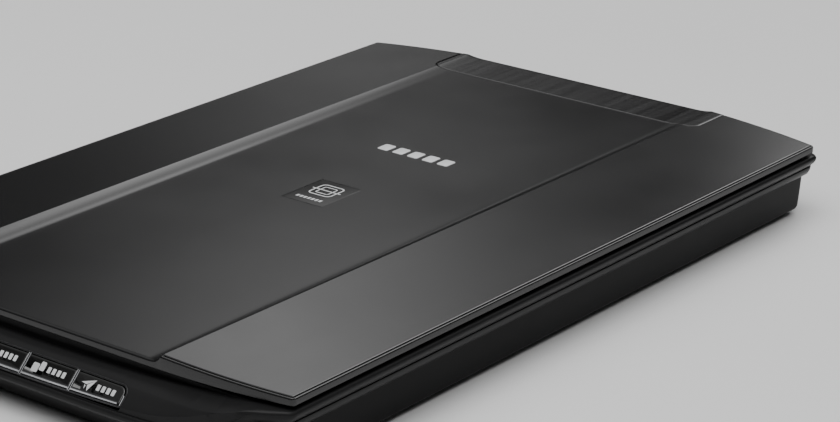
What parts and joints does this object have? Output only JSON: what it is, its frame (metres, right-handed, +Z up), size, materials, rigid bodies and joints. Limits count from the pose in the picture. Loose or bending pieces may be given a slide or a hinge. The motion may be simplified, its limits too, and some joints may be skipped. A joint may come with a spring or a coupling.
{
  "type": "flatbed scanner",
  "caption": "Slim flatbed document scanner: hinged lift-off-height lid over a glass platen, rack-driven sensor carriage inside and a row of five push buttons along the front.",
  "frame": {"origin": "bottom centre of the case's bounding box, on the surface the feet stand on", "axes": "+Z up, +X to the right when facing the button strip, -Y towards the button strip, lid hinges at +Y"},
  "size_m": [0.247, 0.377, 0.036],
  "materials": {
    "case_plastic": "fine-grained black moulding",
    "rim_plastic": "satin black moulding",
    "lid_plastic": "satin black with a fine speckle",
    "cover_plastic": "satin black, faintly brushed",
    "inner_plastic": "plain black moulding",
    "pom_plastic": "white acetal",
    "button_plastic": "polished black",
    "bezel_plastic": "dark, with bright edge lines",
    "badge_plastic": "polished black",
    "mark_silver": "bright silver foil",
    "platen_glass": "float glass",
    "sensor_glass": "thin float glass",
    "tape_black": "adhesive tape",
    "strip_white": "matt white reference film",
    "sheet_white": "matt white film",
    "foam": "closed-cell foam",
    "rubber": "soft black rubber",
    "steel_rod": "ground steel",
    "steel_part": "zinc-plated steel",
    "screw_steel": "black-plated steel",
    "brass": "turned brass",
    "board_green": "green solder mask",
    "chip_black": "moulded packages",
    "ribbon_white": "flat flexible cable",
    "light_pipe": "clear acrylic",
    "led_white": "lamp package",
    "lens_black": "rod-lens array in black resin"
  },
  "bodies": {
    "base": {"lower_case": "case_plastic", "upper_case": "rim_plastic", "platen_glass": "platen_glass", "glass_tape": "tape_black", "calibration_strip": "strip_white", "button_bezel": "bezel_plastic", "button_board": "board_green", "key_switches": "steel_part", "key_ribbon": "ribbon_white", "main_board": "board_green", "board_chips": "chip_black", "usb_socket": "steel_part", "usb_tongue": "pom_plastic", "guide_rod": "steel_rod", "drive_rack": "pom_plastic", "hinge_guides": "inner_plastic", "rubber_feet": "rubber", "case_screws": "screw_steel", "board_screws": "steel_part", "scan_ribbon": "ribbon_white"},
    "lock": {"lock_slider": "pom_plastic"},
    "carriage": {"carriage_frame": "inner_plastic", "carriage_shoes": "pom_plastic", "motor_can": "steel_part", "motor_screws": "steel_part", "gear_axles": "steel_rod", "axle_clips": "steel_part", "float_springs": "steel_part"},
    "motor_rotor": {"motor_pinion": "brass"},
    "reduction": {"reduction_gear": "pom_plastic"},
    "drive": {"drive_gear": "pom_plastic"},
    "sensor": {"cis_housing": "inner_plastic", "cis_glass": "sensor_glass", "lens_array": "lens_black", "light_guide": "light_pipe", "led_block": "led_white", "sensor_board": "board_green", "sensor_chips": "chip_black", "glide_shoes": "pom_plastic"},
    "hinge_posts": {"hinge_post_left": "inner_plastic", "hinge_post_right": "inner_plastic"},
    "lid": {"lid_shell": "lid_plastic", "hinge_cover": "cover_plastic", "lid_badge": "badge_plastic", "lid_mark": "mark_silver", "lid_liner": "inner_plastic", "pad_foam": "foam", "pad_sheet": "sheet_white", "hinge_brackets": "steel_part", "hinge_pins": "steel_rod", "lid_bumpers": "rubber"},
    "key_1": {"button_1": "button_plastic"},
    "key_2": {"button_2": "button_plastic"},
    "key_3": {"button_3": "button_plastic"},
    "key_4": {"button_4": "button_plastic"},
    "key_5": {"button_5": "button_plastic"}
  },
  "joints": [
    {"name": "lid_lift", "type": "slide", "parent": "base", "child": "hinge_posts", "axis": [0, 0, 1], "range_m": [0, 0.014]},
    {"name": "lid_open", "type": "hinge", "parent": "hinge_posts", "child": "lid", "pos_m": [0, 0.1838, 0.0312], "axis": [-1, 0, 0], "range_deg": [0, 95]},
    {"name": "carriage_scan", "type": "slide", "parent": "base", "child": "carriage", "axis": [0, 1, 0], "range_m": [0, 0.298], "deforming": ["scan_ribbon"]},
    {"name": "sensor_float", "type": "slide", "parent": "carriage", "child": "sensor", "axis": [0, 0, 1], "range_m": [-0.0008, 0], "stiffness_N_per_m": 900, "springref_m": 0.003, "deforming": ["float_springs"]},
    {"name": "drive_turn", "type": "hinge", "parent": "carriage", "child": "drive", "pos_m": [-0.018, -0.1475, 0.009], "axis": [0, 0, 1], "range_deg": [0, 2376.4]},
    {"name": "reduction_turn", "type": "hinge", "parent": "carriage", "child": "reduction", "pos_m": [-0.00062, -0.14117, 0.009], "axis": [0, 0, 1], "range_deg": [-10168.2, 0]},
    {"name": "motor_turn", "type": "hinge", "parent": "carriage", "child": "motor_rotor", "pos_m": [0.00999, -0.13455, 0.009], "axis": [0, 0, 1], "range_deg": [0, 26138.9]},
    {"name": "lock_slide", "type": "slide", "parent": "base", "child": "lock", "axis": [-1, 0, 0], "range_m": [0, 0.007]},
    {"name": "key_1_press", "type": "slide", "parent": "base", "child": "key_1", "axis": [0, 0.7071, -0.7071], "range_m": [0, 0.0006], "stiffness_N_per_m": 300, "springref_m": -0.0008},
    {"name": "key_2_press", "type": "slide", "parent": "base", "child": "key_2", "axis": [0, 0.7071, -0.7071], "range_m": [0, 0.0006], "stiffness_N_per_m": 300, "springref_m": -0.0008},
    {"name": "key_3_press", "type": "slide", "parent": "base", "child": "key_3", "axis": [0, 0.7071, -0.7071], "range_m": [0, 0.0006], "stiffness_N_per_m": 300, "springref_m": -0.0008},
    {"name": "key_4_press", "type": "slide", "parent": "base", "child": "key_4", "axis": [0, 0.7071, -0.7071], "range_m": [0, 0.0006], "stiffness_N_per_m": 300, "springref_m": -0.0008},
    {"name": "key_5_press", "type": "slide", "parent": "base", "child": "key_5", "axis": [0, 0.7071, -0.7071], "range_m": [0, 0.0006], "stiffness_N_per_m": 300, "springref_m": -0.0008}
  ],
  "couplings": [
    {"joint": "drive_turn", "follows": "carriage_scan", "rad_per_m": 138.89},
    {"joint": "reduction_turn", "follows": "carriage_scan", "rad_per_m": -595.24},
    {"joint": "motor_turn", "follows": "carriage_scan", "rad_per_m": 1530.6}
  ]
}
